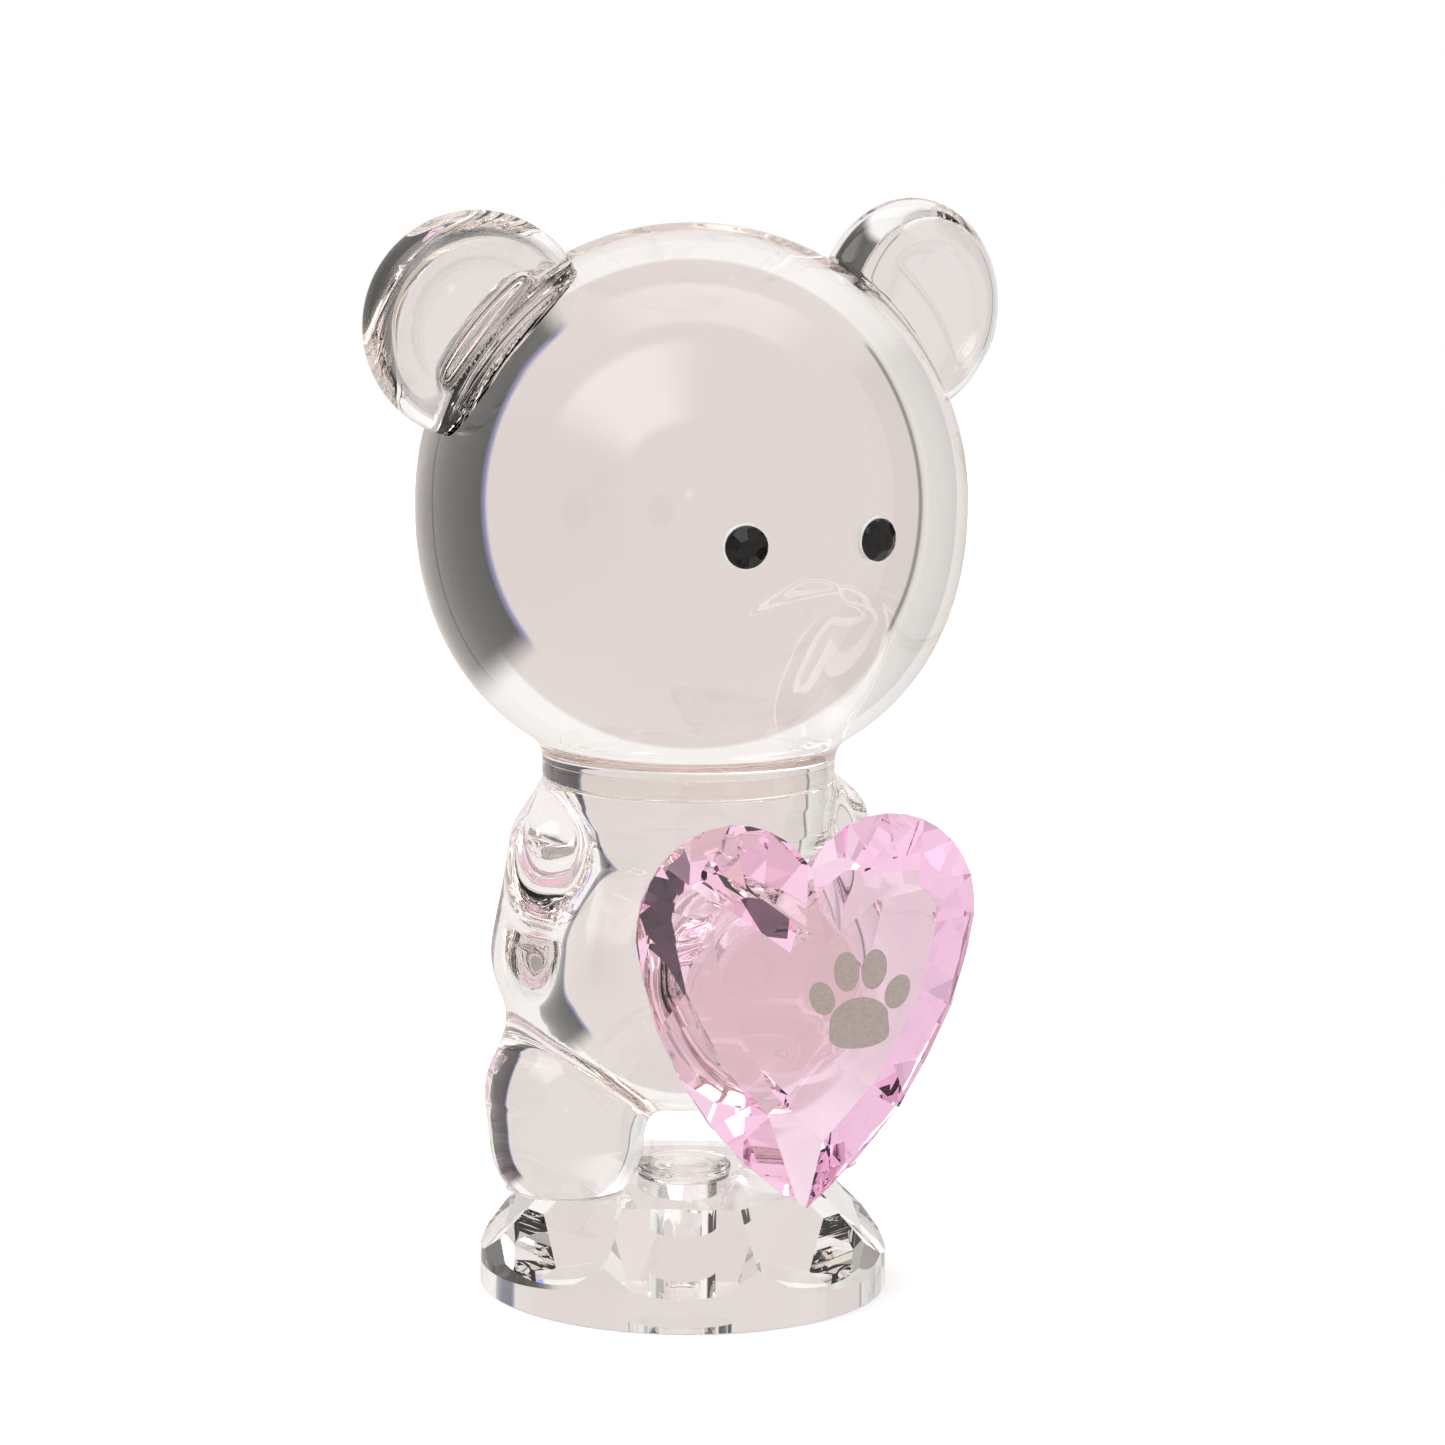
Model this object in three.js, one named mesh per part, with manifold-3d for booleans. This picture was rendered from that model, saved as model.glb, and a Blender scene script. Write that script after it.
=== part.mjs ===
// Crystal glass teddy bear figurine holding a faceted heart, on a faceted round base.
// Millimetres, +Z up. The origin is the centre of the base's underside, and the bear faces -Y.
// Left and right are the bear's own: its left side is +X.
// Every piece is bonded to its neighbour by a thin film of clear adhesive, so nothing moves.

import * as THREE from 'three';
import Module from 'manifold-3d';
import { mergeVertices } from 'three/addons/utils/BufferGeometryUtils.js';

const wasm = await Module();
wasm.setup();

// ---------------------------------------------------------------- driving dimensions

const HEAD_RADIUS = 25.1;
const HEAD_CENTRE_Z = 73;
const HEAD_FULLNESS = 2.25; // 2 is a true ball; the lower half of the head is a little squarer
const FILM = 0.3;           // thickness of an adhesive film
const GAP = 0.3;            // clearance kept where curved or tilted faces meet

const BASE = { radius: 18.8, girdleHeight: 3.15, tableHeight: 9.85, tableRadius: 12.55, sides: 8 };
const PLUG = { headRadius: 4.35, headHeight: 1.05, stemRadius: 3.1, floorZ: 2.4 };
const LEG = { x: 12, y: 0.2, radius: 7.1, topZ: 23, soleRadius: 5.6 };
const TORSO_DEPTH_SHARE = 0.86;    // how deep the torso is, as a share of its width
const NECK = { radius: 13.5, bodyTopZ: 47.4, stubHeight: 4 };
const ARM = {
  shoulder: { x: 13, y: -0.6, z: 42, radius: 4.8 },
  paw: { x: 14.3, y: -3.4, z: 33, radius: 5.6 },
};
const EAR = { x: 21.5, y: -0.4, z: 89.7, radius: 10.3, thickness: 9, turn: 12, dishRadius: 7.2, dishDepth: 2.4 };
const EYE = { latitude: -1.4, spread: 14.6, radius: 1.9, height: 1.2, beadRadius: 2.2 };
const HEART = {
  lobeX: 7.6,
  lobeZ: 39,
  lobeRadius: 8.9,
  tipZ: 13,
  girdleY: -24.5,
  girdleThickness: 2.4,
  crownHeight: 3,
  pavilionDepth: 6.2,
};

const BASE_TURN = -25.6;    // degrees that the base's facets are turned from the bear's front
const BIG = 200;            // side of a box that stands for everything beyond a cutting plane

const rad = THREE.MathUtils.degToRad;

// ---------------------------------------------------------------- solid helpers

function toSolid(geometry) {
  const plain = geometry.clone();
  plain.deleteAttribute('normal');
  plain.deleteAttribute('uv');
  const merged = mergeVertices(plain, 1e-5);
  return new wasm.Manifold(new wasm.Mesh({
    numProp: 3,
    vertProperties: new Float32Array(merged.attributes.position.array),
    triVerts: new Uint32Array(merged.index.array),
  }));
}

function toGeometry(solid) {
  const mesh = solid.getMesh();
  const geometry = new THREE.BufferGeometry();
  geometry.setAttribute('position', new THREE.BufferAttribute(new Float32Array(mesh.vertProperties), 3));
  geometry.setIndex(new THREE.BufferAttribute(new Uint32Array(mesh.triVerts), 1));
  geometry.computeVertexNormals();
  return geometry;
}

function join(first, ...others) {
  return others.reduce((whole, part) => whole.add(part), first);
}

// Takes away everything beyond the plane normal . point = distance.
function cutBeyond(solid, normal, distance) {
  const direction = normal.clone().normalize();
  const beyond = new THREE.BoxGeometry(BIG, BIG, BIG);
  beyond.translate(0, 0, BIG / 2 + distance / normal.length());
  beyond.applyQuaternion(new THREE.Quaternion().setFromUnitVectors(new THREE.Vector3(0, 0, 1), direction));
  return solid.subtract(toSolid(beyond));
}

function ball(radius, centre, columns = 40, rows = 20) {
  const geometry = new THREE.SphereGeometry(radius, columns, rows);
  geometry.rotateX(Math.PI / 2);
  geometry.translate(centre.x, centre.y, centre.z);
  return toSolid(geometry);
}

function ellipsoid(radii, centre, columns = 32, rows = 16) {
  const geometry = new THREE.SphereGeometry(1, columns, rows);
  geometry.rotateX(Math.PI / 2);
  geometry.scale(radii.x, radii.y, radii.z);
  geometry.translate(centre.x, centre.y, centre.z);
  return toSolid(geometry);
}

// A solid turned about Z from a profile of [radius, height] points that starts and ends on the axis.
function turned(profile, segments) {
  const points = profile.map(([radius, height]) => new THREE.Vector2(radius, height));
  const geometry = new THREE.LatheGeometry(points, segments);
  geometry.rotateX(Math.PI / 2);
  return geometry;
}

// A round disc or post standing on z = low.
function post(radius, low, high, segments = 40) {
  return turned([[0, low], [radius, low], [radius, high], [0, high]], segments);
}

// ---------------------------------------------------------------- places that pieces share

const headCentre = new THREE.Vector3(0, 0, HEAD_CENTRE_Z);
const legTop = BASE.tableHeight + FILM;
const headFootZ = NECK.bodyTopZ + FILM;

// A direction from the head's centre, by degrees up from the equator and round from the bear's front.
function headDirection(latitude, turn) {
  const flat = Math.cos(rad(latitude));
  return new THREE.Vector3(flat * Math.sin(rad(turn)), -flat * Math.cos(rad(turn)), Math.sin(rad(latitude)));
}

// ---------------------------------------------------------------- base and plug

// A round disc whose crown is cut with eight broad facets and a small steep facet between each two.
function baseGeometry() {
  const crownSlope = (BASE.tableHeight - BASE.girdleHeight) / (BASE.radius - BASE.tableRadius);
  const cornerSlope = 3.1;
  let solid = toSolid(post(BASE.radius, 0, BASE.tableHeight, 64));
  for (let side = 0; side < BASE.sides; side += 1) {
    const main = rad(BASE_TURN - 90 + (side * 360) / BASE.sides);
    const corner = main + Math.PI / BASE.sides;
    const mainNormal = new THREE.Vector3(crownSlope * Math.cos(main), crownSlope * Math.sin(main), 1);
    const cornerNormal = new THREE.Vector3(cornerSlope * Math.cos(corner), cornerSlope * Math.sin(corner), 1);
    solid = cutBeyond(solid, mainNormal, crownSlope * BASE.radius + BASE.girdleHeight);
    solid = cutBeyond(solid, cornerNormal, cornerSlope * BASE.radius + BASE.girdleHeight);
  }
  const bore = post(PLUG.stemRadius + FILM, PLUG.floorZ, BASE.tableHeight + 1);
  return toGeometry(solid.subtract(toSolid(bore)));
}

// A clear mushroom-shaped plug: its stem fills the blind bore and its head stands on the table.
function plugGeometry() {
  const seatZ = BASE.tableHeight + FILM;
  const topZ = seatZ + PLUG.headHeight;
  const edge = 0.3;
  return turned([
    [0, PLUG.floorZ + FILM],
    [PLUG.stemRadius, PLUG.floorZ + FILM],
    [PLUG.stemRadius, seatZ],
    [PLUG.headRadius, seatZ],
    [PLUG.headRadius, topZ - edge],
    [PLUG.headRadius - edge, topZ],
    [0, topZ],
  ], 40);
}

// The adhesive that fills the bore around the plug's stem, with a floor and a flange under its head.
function plugBondGeometry() {
  const outer = PLUG.stemRadius + FILM;
  return turned([
    [0, PLUG.floorZ],
    [outer, PLUG.floorZ],
    [outer, BASE.tableHeight],
    [PLUG.headRadius - FILM, BASE.tableHeight],
    [PLUG.headRadius - FILM, BASE.tableHeight + FILM],
    [PLUG.stemRadius, BASE.tableHeight + FILM],
    [PLUG.stemRadius, PLUG.floorZ + FILM],
    [0, PLUG.floorZ + FILM],
  ], 40);
}

function footBondGeometry(side) {
  const geometry = post(LEG.soleRadius, BASE.tableHeight, BASE.tableHeight + FILM);
  geometry.translate(side * LEG.x, LEG.y, 0);
  return toGeometry(cutBeyond(trimToTable(toSolid(geometry)), new THREE.Vector3(-side, 0, 0), -PLUG.headRadius - GAP));
}

// The feet overhang the base's table, so the film under them stops at the table's edge.
function trimToTable(solid) {
  let trimmed = solid;
  for (let side = 0; side < BASE.sides; side += 1) {
    const turn = rad(BASE_TURN - 90 + (side * 360) / BASE.sides);
    trimmed = cutBeyond(trimmed, new THREE.Vector3(Math.cos(turn), Math.sin(turn), 0), BASE.tableRadius - FILM);
  }
  return trimmed;
}

// ---------------------------------------------------------------- body

// A pear-shaped torso, wider across than it is deep, that ends in a flat neck face.
function torso() {
  const halfWidths = new THREE.SplineCurve([
    [8, 15.9], [14.5, 17.2], [18, 20], [19.2, 23.4], [18.4, 27.5], [16.4, 32.5], [15.2, 38], [14.4, 43], [13.5, 47.4],
  ].map(([across, height]) => new THREE.Vector2(across, height)));
  const outline = halfWidths.getPoints(20).map((point) => [point.x, point.y]);
  const geometry = turned([[0, 15.4], ...outline, [0, NECK.bodyTopZ]], 48);
  geometry.scale(1, TORSO_DEPTH_SHARE, 1);
  return toSolid(geometry).add(toSolid(post(NECK.radius, NECK.bodyTopZ - 2.2, NECK.bodyTopZ, 48)));
}

// A stubby leg with a flat sole and rounded edges.
function leg(side) {
  const { radius, soleRadius, topZ } = LEG;
  const edge = radius - soleRadius;
  const rounded = [];
  for (let step = 0; step <= 4; step += 1) {
    const turn = rad(-90 + (step * 90) / 4);
    rounded.push([soleRadius + edge * Math.cos(turn), legTop + edge + edge * Math.sin(turn)]);
  }
  const geometry = turned([[0, legTop], ...rounded, [radius, topZ - 4], [radius - 2, topZ], [0, topZ + 1]], 36);
  geometry.translate(side * LEG.x, LEG.y, 0);
  return toSolid(geometry);
}

// A rod with round ends, fatter at its far end than at its near one.
function taperedRod(from, to, fromRadius, toRadius) {
  const along = to.clone().sub(from);
  const length = along.length();
  const steps = 6;
  const profile = [[0, -fromRadius]];
  for (let step = 1; step <= steps; step += 1) {
    const turn = rad(-90 + (step * 90) / steps);
    profile.push([fromRadius * Math.cos(turn), fromRadius * Math.sin(turn)]);
  }
  for (let step = 0; step < steps; step += 1) {
    const turn = rad((step * 90) / steps);
    profile.push([toRadius * Math.cos(turn), length + toRadius * Math.sin(turn)]);
  }
  profile.push([0, length + toRadius]);
  const geometry = turned(profile, 24);
  geometry.applyQuaternion(new THREE.Quaternion().setFromUnitVectors(new THREE.Vector3(0, 0, 1), along.normalize()));
  geometry.translate(from.x, from.y, from.z);
  return toSolid(geometry);
}

// An arm moulded against the torso: it widens from the shoulder to a round paw.
function arm(side) {
  const shoulder = new THREE.Vector3(side * ARM.shoulder.x, ARM.shoulder.y, ARM.shoulder.z);
  const paw = new THREE.Vector3(side * ARM.paw.x, ARM.paw.y, ARM.paw.z);
  return taperedRod(shoulder, paw, ARM.shoulder.radius, ARM.paw.radius);
}

// The torso, arms and legs are one pressing. A flat is ground on the belly for the heart.
function bodyGeometry() {
  return toGeometry(join(torso(), leg(-1), leg(1), arm(-1), arm(1), bellyBoss()));
}

const bellyFaceY = HEART.girdleY + HEART.girdleThickness / 2 + HEART.pavilionDepth + FILM;
const BELLY_BOSS = { radius: 7.6, z: 31.5, length: 6 };

// A low round boss with a flat face, which the back of the heart is bonded to.
function bellyBoss() {
  const geometry = post(BELLY_BOSS.radius, 0, BELLY_BOSS.length);
  geometry.rotateX(Math.PI / 2);
  geometry.translate(0, bellyFaceY + BELLY_BOSS.length, BELLY_BOSS.z);
  return toSolid(geometry);
}

function heartBondGeometry() {
  const geometry = post(BELLY_BOSS.radius - 0.6, 0, FILM);
  geometry.rotateX(Math.PI / 2);
  geometry.translate(0, bellyFaceY, BELLY_BOSS.z);
  return geometry;
}

// ---------------------------------------------------------------- head

// A ball above the equator and a little fuller than a ball below it.
function skull() {
  const rows = 26;
  const profile = [];
  for (let row = 0; row <= rows; row += 1) {
    const turn = rad(-90 + (row * 180) / rows);
    const power = turn < 0 ? 2 / HEAD_FULLNESS : 1;
    const across = HEAD_RADIUS * Math.cos(turn) ** power;
    const up = HEAD_RADIUS * Math.sign(turn) * Math.abs(Math.sin(turn)) ** power;
    profile.push([row === 0 || row === rows ? 0 : across, HEAD_CENTRE_Z + up]);
  }
  return toSolid(turned(profile, 52));
}

// The skull with a raised muzzle and nose, standing on a short round stub that is ground flat.
function headGeometry() {
  const muzzle = ellipsoid(new THREE.Vector3(9.6, 7, 6.6), new THREE.Vector3(0, -17.8, HEAD_CENTRE_Z - 9), 28, 14);
  const nose = ellipsoid(new THREE.Vector3(2.8, 1.5, 1.8), new THREE.Vector3(0, -24, HEAD_CENTRE_Z - 5.8), 14, 8);
  const stub = toSolid(post(NECK.radius, headFootZ, headFootZ + NECK.stubHeight, 48));
  const whole = join(skull(), muzzle, nose, stub);
  return toGeometry(cutBeyond(whole, new THREE.Vector3(0, 0, -1), -headFootZ));
}

function neckBondGeometry() {
  return post(NECK.radius - 0.3, NECK.bodyTopZ, NECK.bodyTopZ + FILM, 48);
}

// ---------------------------------------------------------------- ears

// A thick round ear with a dished front, placed but not yet cut away where the head is.
function wholeEar(side) {
  const half = EAR.thickness / 2;
  const lip = Math.sqrt(1 - (EAR.dishRadius / EAR.radius) ** 2) * half;
  const profile = [[0, -half]];
  const steps = 9;
  for (let step = 1; step <= steps; step += 1) {
    const across = -1 + (step / steps) * (1 + lip / half);
    profile.push([EAR.radius * Math.sqrt(1 - across ** 2), across * half]);
  }
  profile.push([EAR.dishRadius * 0.7, lip - EAR.dishDepth * 0.75]);
  profile.push([0, lip - EAR.dishDepth]);
  const geometry = turned(profile, 36);
  geometry.rotateX(Math.PI / 2);
  geometry.rotateZ(rad(side * EAR.turn));
  geometry.translate(side * EAR.x, EAR.y, EAR.z);
  return toSolid(geometry);
}

function earGeometry(side) {
  return toGeometry(wholeEar(side).subtract(ball(HEAD_RADIUS + GAP + FILM + GAP, headCentre)));
}

// The adhesive between an ear's root and the head: a curved film with the ear's own outline.
function earBondGeometry(side) {
  const outer = ball(HEAD_RADIUS + GAP + FILM, headCentre);
  const inner = ball(HEAD_RADIUS + GAP, headCentre);
  return toGeometry(wholeEar(side).intersect(outer).subtract(inner));
}

// ---------------------------------------------------------------- eyes

// Stands a piece that is turned about +Z on the head's surface, a little clear of it.
function onHead(geometry, side, clearance) {
  const outward = headDirection(EYE.latitude, side * EYE.spread);
  geometry.applyQuaternion(new THREE.Quaternion().setFromUnitVectors(new THREE.Vector3(0, 0, 1), outward));
  const spot = headCentre.clone().addScaledVector(outward, HEAD_RADIUS + clearance);
  geometry.translate(spot.x, spot.y, spot.z);
  return geometry;
}

// A flat-backed faceted stone.
function eyeGeometry(side) {
  const stone = turned([
    [0, 0],
    [EYE.radius * 0.96, 0],
    [EYE.radius, EYE.height * 0.2],
    [EYE.radius * 0.5, EYE.height],
    [0, EYE.height],
  ], 12);
  return onHead(stone, side, GAP + FILM + 0.1);
}

function eyeBondGeometry(side) {
  return onHead(post(EYE.beadRadius, 0, FILM, 24), side, GAP);
}

// ---------------------------------------------------------------- heart

const lobeCentre = new THREE.Vector2(HEART.lobeX, HEART.lobeZ);
const tip = new THREE.Vector2(0, HEART.tipZ);
const LOWEST_LOBE_TURN = -10;    // degrees, where the round lobe passes into the long side
const sideArc = heartSideArc();

// The long side of the heart: the arc that leaves the lobe smoothly and ends at the tip.
function heartSideArc() {
  const leave = new THREE.Vector2(Math.cos(rad(LOWEST_LOBE_TURN)), Math.sin(rad(LOWEST_LOBE_TURN)));
  const toTip = tip.clone().sub(lobeCentre);
  const along = toTip.dot(leave);
  const lobe = HEART.lobeRadius;
  const radius = (toTip.lengthSq() + lobe ** 2 - 2 * lobe * along) / (2 * lobe - 2 * along);
  return { radius, centre: lobeCentre.clone().addScaledVector(leave, lobe - radius) };
}

// How far the half outline reaches in a direction given in degrees from +X towards +Z.
function heartReach(turn) {
  const direction = new THREE.Vector2(Math.cos(rad(turn)), Math.sin(rad(turn)));
  if (turn >= LOWEST_LOBE_TURN) {
    return lobeCentre.dot(direction) + HEART.lobeRadius;
  }
  return sideArc.centre.dot(direction) + sideArc.radius;
}

// Directions of the girdle's flats, from the cleft round to the tip.
const GIRDLE_TURNS = [140, 124, 108, 92, 76, 60, 44, 28, 12, -4, -16, -26, -36, -46, -55];

// One row of facets leaning from the girdle towards the front (-1) or the back (+1).
function heartFacets(solid, face, steepness, shallowness) {
  const rimY = HEART.girdleY + (face * HEART.girdleThickness) / 2;
  let cut = solid;
  const facet = (turn, reach, lean) => {
    const flat = Math.cos(rad(lean));
    const depth = face * Math.sin(rad(lean));
    const normal = new THREE.Vector3(flat * Math.cos(rad(turn)), depth, flat * Math.sin(rad(turn)));
    cut = cutBeyond(cut, normal, flat * reach + depth * rimY);
  };
  GIRDLE_TURNS.forEach((turn, place) => {
    facet(turn, heartReach(turn), steepness);
    if (place % 2 === 0 && place + 1 < GIRDLE_TURNS.length) {
      const half = (GIRDLE_TURNS[place + 1] - turn) / 2;
      const between = turn + half;
      facet(between, heartReach(between) / Math.cos(rad(half)) ** 0.5, shallowness);
    }
  });
  return cut;
}

// The half of the heart at +X: a convex stone bounded by its facets and by the plane of symmetry.
function heartHalf() {
  const frontY = HEART.girdleY - HEART.girdleThickness / 2 - HEART.crownHeight;
  const backY = HEART.girdleY + HEART.girdleThickness / 2 + HEART.pavilionDepth;
  const width = HEART.lobeX + HEART.lobeRadius + 1;
  const height = HEART.lobeZ + HEART.lobeRadius + 1;
  const block = new THREE.BoxGeometry(width, backY - frontY, height);
  block.translate(width / 2, (frontY + backY) / 2, height / 2);
  let solid = toSolid(block);
  GIRDLE_TURNS.forEach((turn) => {
    const outward = new THREE.Vector3(Math.cos(rad(turn)), 0, Math.sin(rad(turn)));
    solid = cutBeyond(solid, outward, heartReach(turn));
  });
  solid = heartFacets(solid, -1, 38, 50);
  return heartFacets(solid, 1, 48, 60);
}

function heartGeometry() {
  const half = heartHalf();
  return toGeometry(half.add(half.mirror([1, 0, 0])));
}

// ---------------------------------------------------------------- assembly

const glass = () => new THREE.MeshStandardMaterial({
  color: 0xe9e6e4, roughness: 0.02, metalness: 0, transparent: true, opacity: 0.35,
});
const adhesive = () => new THREE.MeshStandardMaterial({
  color: 0xf4f2ec, roughness: 0.15, metalness: 0, transparent: true, opacity: 0.5,
});
const pinkGlass = () => new THREE.MeshStandardMaterial({
  color: 0xe9bcd2, roughness: 0.02, metalness: 0, transparent: true, opacity: 0.5,
});
const jet = () => new THREE.MeshStandardMaterial({ color: 0x0c0b0d, roughness: 0.08, metalness: 0 });

const figurine = new THREE.Group();

function addPiece(name, geometry, material) {
  const mesh = new THREE.Mesh(geometry, material);
  mesh.name = name;
  figurine.add(mesh);
}

addPiece('base', baseGeometry(), glass());
addPiece('base_plug', plugGeometry(), glass());
addPiece('plug_bond', plugBondGeometry(), adhesive());
addPiece('body', bodyGeometry(), glass());
addPiece('neck_bond', neckBondGeometry(), adhesive());
addPiece('head', headGeometry(), glass());
addPiece('heart', heartGeometry(), pinkGlass());
addPiece('heart_bond', heartBondGeometry(), adhesive());

for (const [name, side] of [['left', 1], ['right', -1]]) {
  addPiece(`foot_bond_${name}`, footBondGeometry(side), adhesive());
  addPiece(`ear_${name}`, earGeometry(side), glass());
  addPiece(`ear_bond_${name}`, earBondGeometry(side), adhesive());
  addPiece(`eye_${name}`, eyeGeometry(side), jet());
  addPiece(`eye_bond_${name}`, eyeBondGeometry(side), adhesive());
}

export default figurine;
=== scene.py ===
"""Crystal glass bear figurine with a pink heart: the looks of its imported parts.

Shapes are worked out in millimetres, in the row's frame, and scaled to metres when a mesh is made.
The bear faces -Y, and left and right are its own.
"""

import math

import bmesh
import bpy
import numpy as np
import openvdb
from mathutils import Matrix, Vector


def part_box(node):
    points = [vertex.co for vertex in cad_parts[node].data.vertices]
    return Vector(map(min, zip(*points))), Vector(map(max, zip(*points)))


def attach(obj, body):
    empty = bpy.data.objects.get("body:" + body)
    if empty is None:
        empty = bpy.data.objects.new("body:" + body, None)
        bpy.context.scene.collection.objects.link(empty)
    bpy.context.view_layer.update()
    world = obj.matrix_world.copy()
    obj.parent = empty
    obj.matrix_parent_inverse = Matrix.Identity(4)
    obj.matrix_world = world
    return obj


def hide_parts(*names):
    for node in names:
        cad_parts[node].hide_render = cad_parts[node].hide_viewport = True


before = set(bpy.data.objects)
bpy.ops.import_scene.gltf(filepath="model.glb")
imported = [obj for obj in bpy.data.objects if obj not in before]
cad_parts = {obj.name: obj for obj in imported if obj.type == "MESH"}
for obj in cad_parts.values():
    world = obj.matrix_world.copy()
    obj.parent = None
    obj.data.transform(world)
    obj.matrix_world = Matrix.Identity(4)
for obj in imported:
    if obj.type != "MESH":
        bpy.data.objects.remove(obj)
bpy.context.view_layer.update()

MM = 0.001
AIR_GAP = 0.01  # mm between bonded faces, so that no two faces coincide
FILM = 0.3  # mm, the thickness of the adhesive films


def corners(node):
    """Lowest and highest corner of a CAD node in millimetres."""
    low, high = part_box(node)
    return np.array(low) / MM, np.array(high) / MM


# ---------------------------------------------------------------- sizes from the frame

base_low, base_high = corners("base")
body_low, body_high = corners("body")
head_low, head_high = corners("head")
heart_low, heart_high = corners("heart")
plug_low, plug_high = corners("base_plug")
neck_bond_low, neck_bond_high = corners("neck_bond")
heart_bond_low, heart_bond_high = corners("heart_bond")

BASE_RADIUS = (base_high[0] - base_low[0]) / 2
TABLE_Z = base_high[2]
GIRDLE_Z = TABLE_Z * 0.32  # where the base's upright edge ends and its facets begin
TABLE_RADIUS = BASE_RADIUS * 0.667
BASE_TURN = -25.6  # degrees that the base's facets are turned from the bear's front

HEAD_RADIUS = (head_high[0] - head_low[0]) / 2
HEAD_CENTRE = np.array([0, 0, head_high[2] - HEAD_RADIUS])
HEAD_FOOT_Z = head_low[2]
EAR_RADII = (10.2, 4.45, 10.2)
EAR_TURN = 12  # degrees that an ear's front is turned outwards
NECK_RADIUS = (neck_bond_high[0] - neck_bond_low[0]) / 2 + 0.3
NECK_Z = body_high[2]
SOLE_Z = body_low[2]

HEART_CENTRE_Y = heart_low[1] + 4.2  # the middle of its girdle
HEART_BACK_Y = heart_high[1]
BELLY_Y = body_low[1]
BOND_Z = (heart_bond_low[2] + heart_bond_high[2]) / 2
BOND_RADIUS = (heart_bond_high[0] - heart_bond_low[0]) / 2

VOXEL = 0.45


# ---------------------------------------------------------------- distance fields of the pressed pieces

def smooth_union(a, b, blend):
    """The join of two fields with a fillet about as wide as the blend."""
    share = np.clip(0.5 + 0.5 * (b - a) / blend, 0, 1)
    return b * (1 - share) + a * share - blend * share * (1 - share)


def smooth_cut(a, b, blend):
    """The first field less the second, with the edge rounded by the blend."""
    return -smooth_union(-a, b, blend)


def ramp(value, start, end):
    """0 before the start, 1 after the end, and smooth between."""
    share = np.clip((value - start) / (end - start), 0, 1)
    return share * share * (3 - 2 * share)


def ellipsoid(p, centre, radii):
    """Nearly the distance from an ellipsoid, and exactly zero on it."""
    q = p - np.array(centre)
    near = np.linalg.norm(q / np.array(radii), axis=-1)
    slope = np.linalg.norm(q / np.array(radii) ** 2, axis=-1) + 1e-9
    return near * (near - 1) / slope


def round_rod(p, start, end, start_radius, end_radius):
    """A rod with round ends that tapers between two radii."""
    start, end = np.array(start), np.array(end)
    along = end - start
    share = np.clip((p - start) @ along / (along @ along), 0, 1)
    nearest = start + share[..., None] * along
    return np.linalg.norm(p - nearest, axis=-1) - (start_radius + share * (end_radius - start_radius))


def round_disc(across, height, radius, half, edge):
    """A disc with a rounded rim, from a point's distance from its axis and its height above its middle."""
    out = across - (radius - edge)
    up = np.abs(height) - (half - edge)
    outside = np.hypot(np.maximum(out, 0), np.maximum(up, 0))
    return outside + np.minimum(np.maximum(out, up), 0) - edge


def upright_disc(p, centre, radius, low, high, edge):
    """A disc about Z between two heights."""
    across = np.hypot(p[..., 0] - centre[0], p[..., 1] - centre[1])
    return round_disc(across, p[..., 2] - (low + high) / 2, radius, (high - low) / 2, edge)


def skull(p):
    """A ball above its equator and a little fuller than a ball below it."""
    q = p - HEAD_CENTRE
    across = np.hypot(q[..., 0], q[..., 1]) / HEAD_RADIUS
    up = np.abs(q[..., 2]) / HEAD_RADIUS
    fullness = np.where(q[..., 2] < 0, 2.25, 2.0)
    return ((across ** fullness + up ** fullness) ** (1 / fullness) - 1) * HEAD_RADIUS


MUZZLE_HEIGHT = 0.5


def head_field(p):
    """Skull, nose, neck stub and a low muzzle that starts crisply on top and fades into the cheeks."""
    aside = np.abs(p[..., 0])
    rise = p[..., 2] - (HEAD_CENTRE[2] - 9.0)
    brow = 5.4 - 0.05 * aside ** 2
    in_front = p[..., 1] < 0
    spread = ramp(rise, brow, brow - 2.2) * ramp(aside, 10.5, 2) * ramp(rise, -14, 0)
    muzzle = MUZZLE_HEIGHT * spread * in_front
    nose = ellipsoid(p, (0, -24.0, HEAD_CENTRE[2] - 5.2), (2.4, 1.2, 1.2))
    stub = upright_disc(p, (0, 0), NECK_RADIUS - 0.1, HEAD_FOOT_Z - 0.25, HEAD_FOOT_Z + 8, 0.45)
    whole = smooth_union(skull(p) - muzzle, nose, 1.0)
    return smooth_union(whole, stub, 1.6)


BELLY_CENTRE, BELLY_RADII = (0, 0, 30.6), (17.6, 15.4, 14.2)
CHEST, THROAT, CHEST_RADIUS = (0, 0, 41), (0, 0, 46), 12.6
SHOULDER, SHOULDER_RADIUS = (13.0, -0.8, 42.0), 4.8
PAW, PAW_RADIUS = (14.1, -2.4, 33.0), 5.5
HIP, HIP_RADIUS = (11.8, 0.2, 18.6), 7.6
FOOT, FOOT_RADIUS = (11.8, 0.2, 14.6), 7.1


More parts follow.
